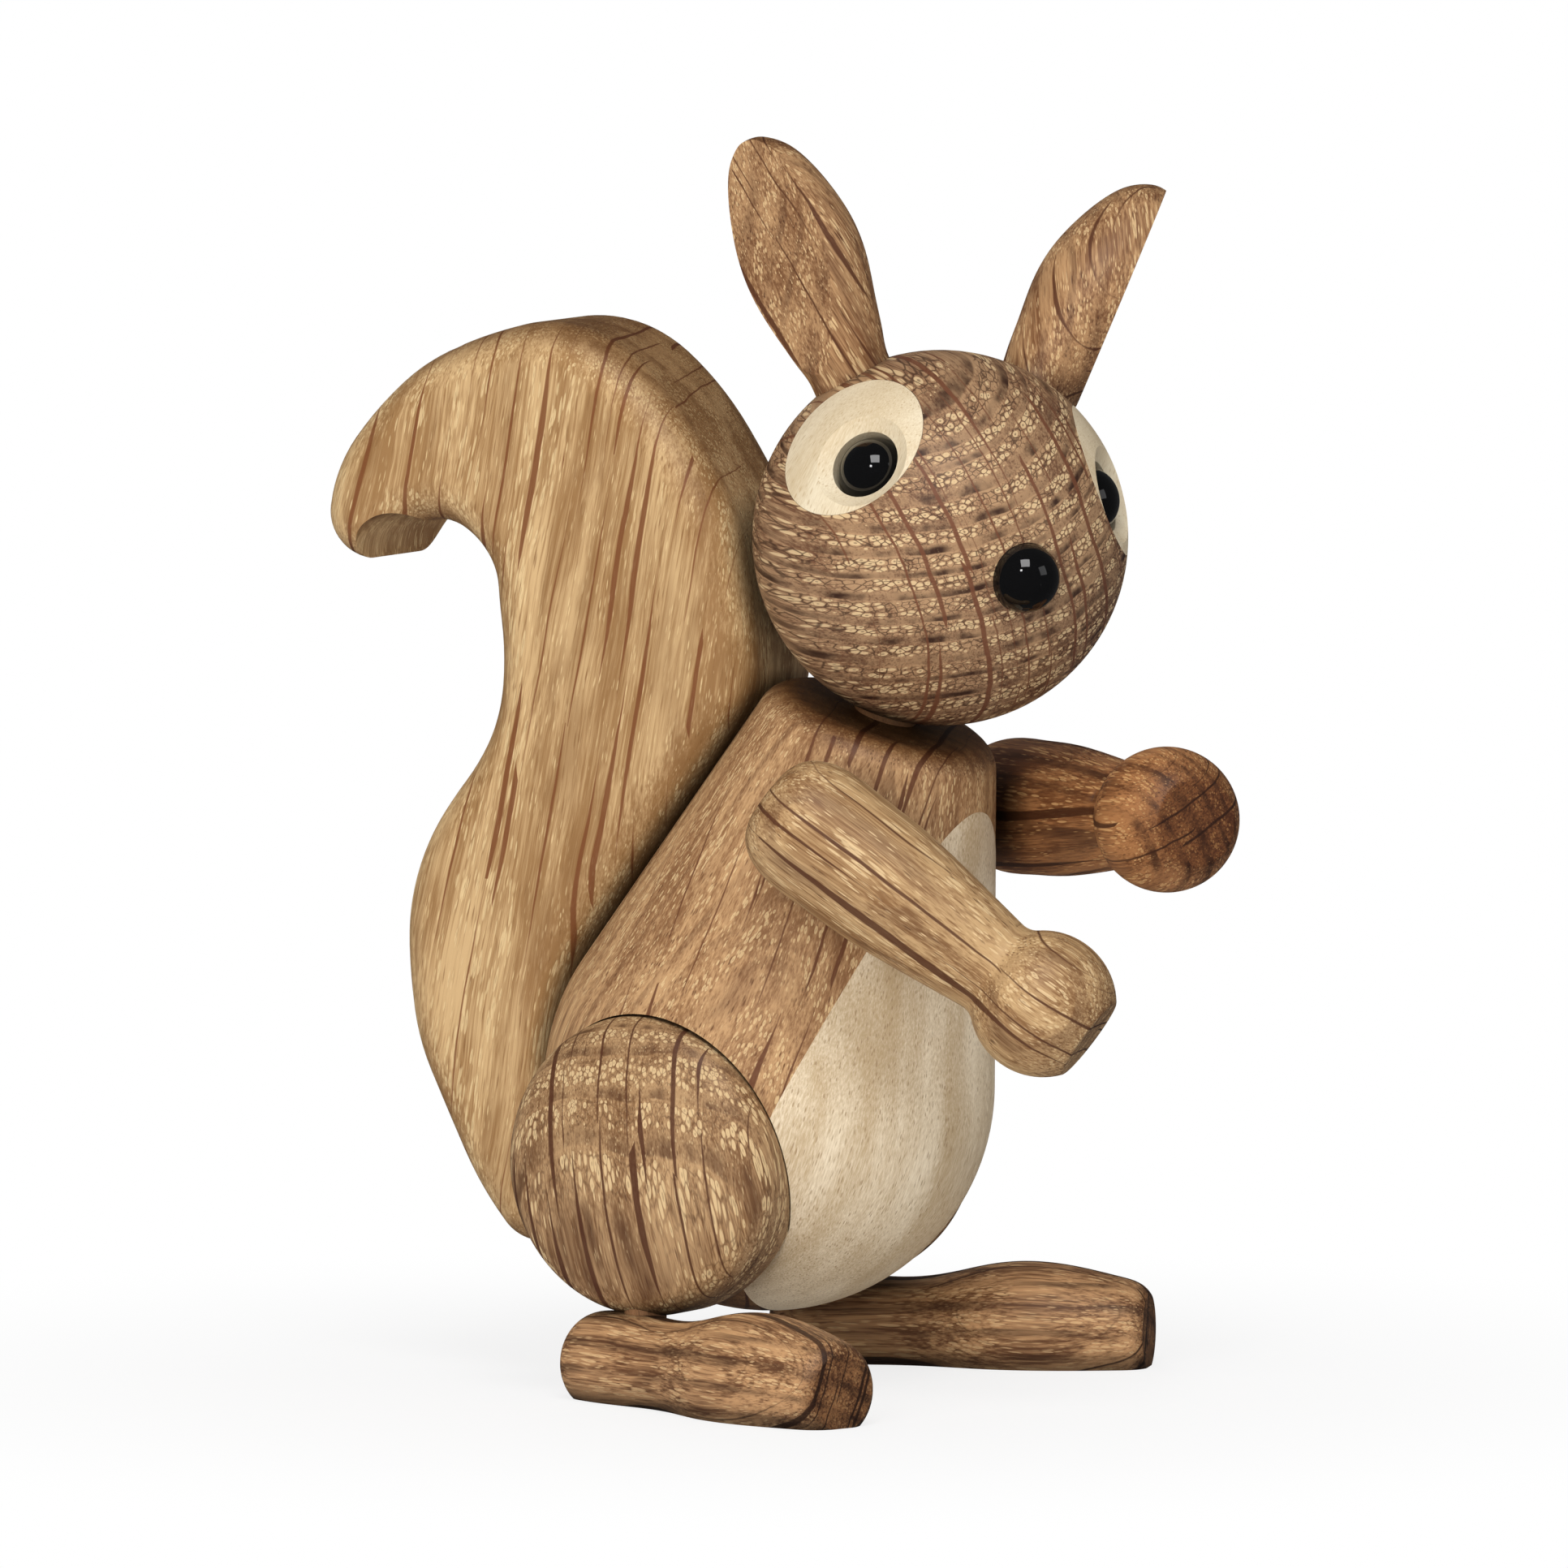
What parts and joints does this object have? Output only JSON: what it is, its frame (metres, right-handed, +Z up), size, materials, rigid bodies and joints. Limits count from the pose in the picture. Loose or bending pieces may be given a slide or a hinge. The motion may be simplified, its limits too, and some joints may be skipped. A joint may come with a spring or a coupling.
{
  "type": "wooden squirrel figurine",
  "caption": "Oak and maple squirrel figurine standing on two flat feet, with a ball head that turns, arms that swing at the shoulders and a curled tail.",
  "frame": {"origin": "on the ground plane, below the middle of the overall box", "axes": "+Z up, the figure looks along -Y, its left side is +X"},
  "size_m": [0.066, 0.0903, 0.1176],
  "materials": {
    "oak_mid": "oiled satin",
    "oak_dark": "oiled satin",
    "oak_light": "oiled satin",
    "maple": "oiled satin",
    "beech_dowel": "plain",
    "black_gloss": "gloss"
  },
  "bodies": {
    "torso": {"body": "oak_mid", "belly": "maple", "neck_dowel": "beech_dowel", "shoulder_dowels": "beech_dowel", "thigh_left": "oak_mid", "thigh_right": "oak_mid", "hip_dowels": "beech_dowel", "foot_left": "oak_mid", "foot_right": "oak_mid", "ankle_dowels": "beech_dowel", "tail": "oak_light", "tail_dowels": "beech_dowel"},
    "head": {"head": "oak_dark", "ear_left": "oak_mid", "ear_right": "oak_mid", "ear_dowels": "beech_dowel", "eye_plug_left": "maple", "eye_plug_right": "maple", "eye_bead_left": "black_gloss", "eye_bead_right": "black_gloss", "nose_bead": "black_gloss"},
    "arm_right": {"arm_right": "oak_mid"},
    "arm_left": {"arm_left": "oak_mid"}
  },
  "joints": [
    {"name": "head_turn", "type": "hinge", "parent": "torso", "child": "head", "pos_m": [0, -0.0177, 0.08016], "axis": [0, -0.3322, 0.9432], "continuous": true},
    {"name": "shoulder_right", "type": "hinge", "parent": "torso", "child": "arm_right", "pos_m": [-0.01882, -0.01616, 0.05348], "axis": [-0.9061, -0.3892, 0.1658], "range_deg": [-45, 53]},
    {"name": "shoulder_left", "type": "hinge", "parent": "torso", "child": "arm_left", "pos_m": [0.01882, -0.01616, 0.05348], "axis": [-0.865, 0.484, -0.1324], "range_deg": [-81, 15]}
  ]
}
